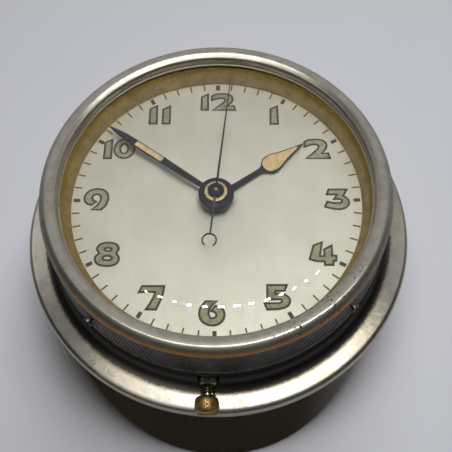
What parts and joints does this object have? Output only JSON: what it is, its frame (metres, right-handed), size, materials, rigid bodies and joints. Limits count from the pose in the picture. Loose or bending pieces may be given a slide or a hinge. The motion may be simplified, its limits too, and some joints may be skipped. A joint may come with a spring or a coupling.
{
  "type": "ships deck clock",
  "caption": "Rim-wound brass and nickel deck clock with a mounting flange, domed glass, silvered dial, centre seconds and a push-in set button.",
  "frame": {"origin": "centre of the back cover's flat rear face", "axes": "+Z from the back cover to the dial, -Y towards the set button at six o'clock"},
  "size_m": [0.101, 0.1019, 0.0514],
  "materials": {
    "nickel": "worn satin nickel plate",
    "knurled_nickel": "milled and darkened nickel plate",
    "brass": "aged satin",
    "steel": "satin",
    "blued_steel": "blued",
    "silvered_dial": "silvered with fine vertical brushing",
    "glass": "clear"
  },
  "bodies": {
    "case": {"case_shell": "nickel", "rear_can": "brass", "back_cover": "brass", "pillar_1": "brass", "pillar_2": "brass", "pillar_3": "brass", "cover_post_1": "brass", "cover_post_2": "brass", "cover_post_3": "brass", "cover_screw_1": "steel", "cover_screw_2": "steel", "cover_screw_3": "steel", "front_plate": "brass", "back_plate": "brass", "dial": "silvered_dial", "dial_ring": "brass", "click_screw": "steel", "click_spring": "steel", "balance_cock": "brass", "cock_screw": "steel", "set_collar": "nickel", "set_spring": "steel"},
    "bezel": {"bezel_ring": "nickel", "glass": "glass", "reflector_ring": "brass", "knurled_rim": "knurled_nickel", "rim_gear": "brass", "rim_screw_1": "steel", "rim_screw_2": "steel", "rim_screw_3": "steel", "rim_screw_4": "steel"},
    "winding": {"winding_wheel": "brass"},
    "ratchet": {"ratchet_wheel": "steel", "barrel_arbor": "steel"},
    "click": {"click": "steel"},
    "barrel": {"barrel": "brass", "barrel_lid": "brass", "mainspring": "blued_steel"},
    "intermediate": {"intermediate_wheel": "brass"},
    "centre": {"centre_wheel": "brass"},
    "third": {"third_wheel": "brass"},
    "seconds": {"seconds_arbor": "brass", "seconds_hand": "blued_steel"},
    "escape": {"escape_wheel": "brass"},
    "fork": {"pallet_fork": "steel"},
    "balance": {"balance_wheel": "brass", "hairspring": "blued_steel"},
    "motion": {"minute_wheel": "brass"},
    "hour": {"hour_wheel": "brass", "hour_hand": "blued_steel"},
    "minute": {"cannon_pinion": "steel", "minute_hand": "blued_steel", "hand_nut": "brass"},
    "setting": {"setting_wheel": "brass"},
    "button_slide": {"set_washer": "steel"},
    "button": {"set_stem": "steel", "set_knob": "brass"}
  },
  "joints": [
    {"name": "bezel_turn", "type": "hinge", "parent": "case", "child": "bezel", "pos_m": [0, 0, 0.043], "axis": [0, 0, 1], "continuous": true},
    {"name": "winding_turn", "type": "hinge", "parent": "case", "child": "winding", "pos_m": [-0.0301, -0.012, 0.027], "axis": [0, 0, 1], "continuous": true},
    {"name": "ratchet_turn", "type": "hinge", "parent": "case", "child": "ratchet", "pos_m": [-0.0225, 0, 0.016], "axis": [0, 0, 1], "continuous": true},
    {"name": "click_lift", "type": "hinge", "parent": "case", "child": "click", "pos_m": [-0.01292, 0.01141, 0.016], "axis": [0, 0, 1], "range_deg": [-12, 0], "stiffness_Nm_per_rad": 0.00002},
    {"name": "seconds_turn", "type": "hinge", "parent": "case", "child": "seconds", "pos_m": [0, 0, 0.03], "axis": [0, 0, 1], "continuous": true},
    {"name": "third_turn", "type": "hinge", "parent": "case", "child": "third", "pos_m": [0.01113, 0.00196, 0.024], "axis": [0, 0, 1], "continuous": true},
    {"name": "centre_turn", "type": "hinge", "parent": "case", "child": "centre", "pos_m": [0, 0, 0.027], "axis": [0, 0, 1], "continuous": true},
    {"name": "intermediate_turn", "type": "hinge", "parent": "case", "child": "intermediate", "pos_m": [-0.00913, -0.0061, 0.024], "axis": [0, 0, 1], "continuous": true},
    {"name": "barrel_turn", "type": "hinge", "parent": "case", "child": "barrel", "pos_m": [-0.0225, 0, 0.023], "axis": [0, 0, 1], "continuous": true},
    {"name": "escape_turn", "type": "hinge", "parent": "case", "child": "escape", "pos_m": [0, 0.00917, 0.018], "axis": [0, 0, 1], "continuous": true},
    {"name": "fork_rock", "type": "hinge", "parent": "case", "child": "fork", "pos_m": [0, 0.01437, 0.014], "axis": [0, 0, 1], "range_deg": [-5, 5]},
    {"name": "balance_swing", "type": "hinge", "parent": "case", "child": "balance", "pos_m": [0, 0.02157, 0.012], "axis": [0, 0, 1], "range_deg": [-220, 220], "stiffness_Nm_per_rad": 0.0000015},
    {"name": "minute_turn", "type": "hinge", "parent": "case", "child": "minute", "pos_m": [0, 0, 0.041], "axis": [0, 0, 1], "continuous": true},
    {"name": "motion_turn", "type": "hinge", "parent": "case", "child": "motion", "pos_m": [0, -0.00993, 0.0375], "axis": [0, 0, 1], "continuous": true},
    {"name": "hour_turn", "type": "hinge", "parent": "case", "child": "hour", "pos_m": [0, 0, 0.04], "axis": [0, 0, 1], "continuous": true},
    {"name": "setting_turn", "type": "hinge", "parent": "case", "child": "setting", "pos_m": [0, -0.01986, 0.033], "axis": [0, 0, 1], "continuous": true},
    {"name": "button_push", "type": "slide", "parent": "case", "child": "button_slide", "axis": [0, 1, 0], "range_m": [0, 0.0018], "stiffness_N_per_m": 300, "springref_m": -0.0015, "deforming": ["set_spring"]},
    {"name": "button_turn", "type": "hinge", "parent": "button_slide", "child": "button", "pos_m": [0, -0.04, 0.0321], "axis": [0, -1, 0], "continuous": true}
  ],
  "couplings": [
    {"joint": "winding_turn", "follows": "bezel_turn", "ratio": 5.3333},
    {"joint": "ratchet_turn", "follows": "bezel_turn", "ratio": -1.3333},
    {"joint": "third_turn", "follows": "seconds_turn", "ratio": -0.13333},
    {"joint": "centre_turn", "follows": "seconds_turn", "ratio": 0.016667},
    {"joint": "intermediate_turn", "follows": "seconds_turn", "ratio": -0.0033333},
    {"joint": "barrel_turn", "follows": "seconds_turn", "ratio": 0.00055556},
    {"joint": "escape_turn", "follows": "seconds_turn", "ratio": -8},
    {"joint": "motion_turn", "follows": "minute_turn", "ratio": -0.33333},
    {"joint": "hour_turn", "follows": "minute_turn", "ratio": 0.083333},
    {"joint": "setting_turn", "follows": "minute_turn", "ratio": 1}
  ]
}
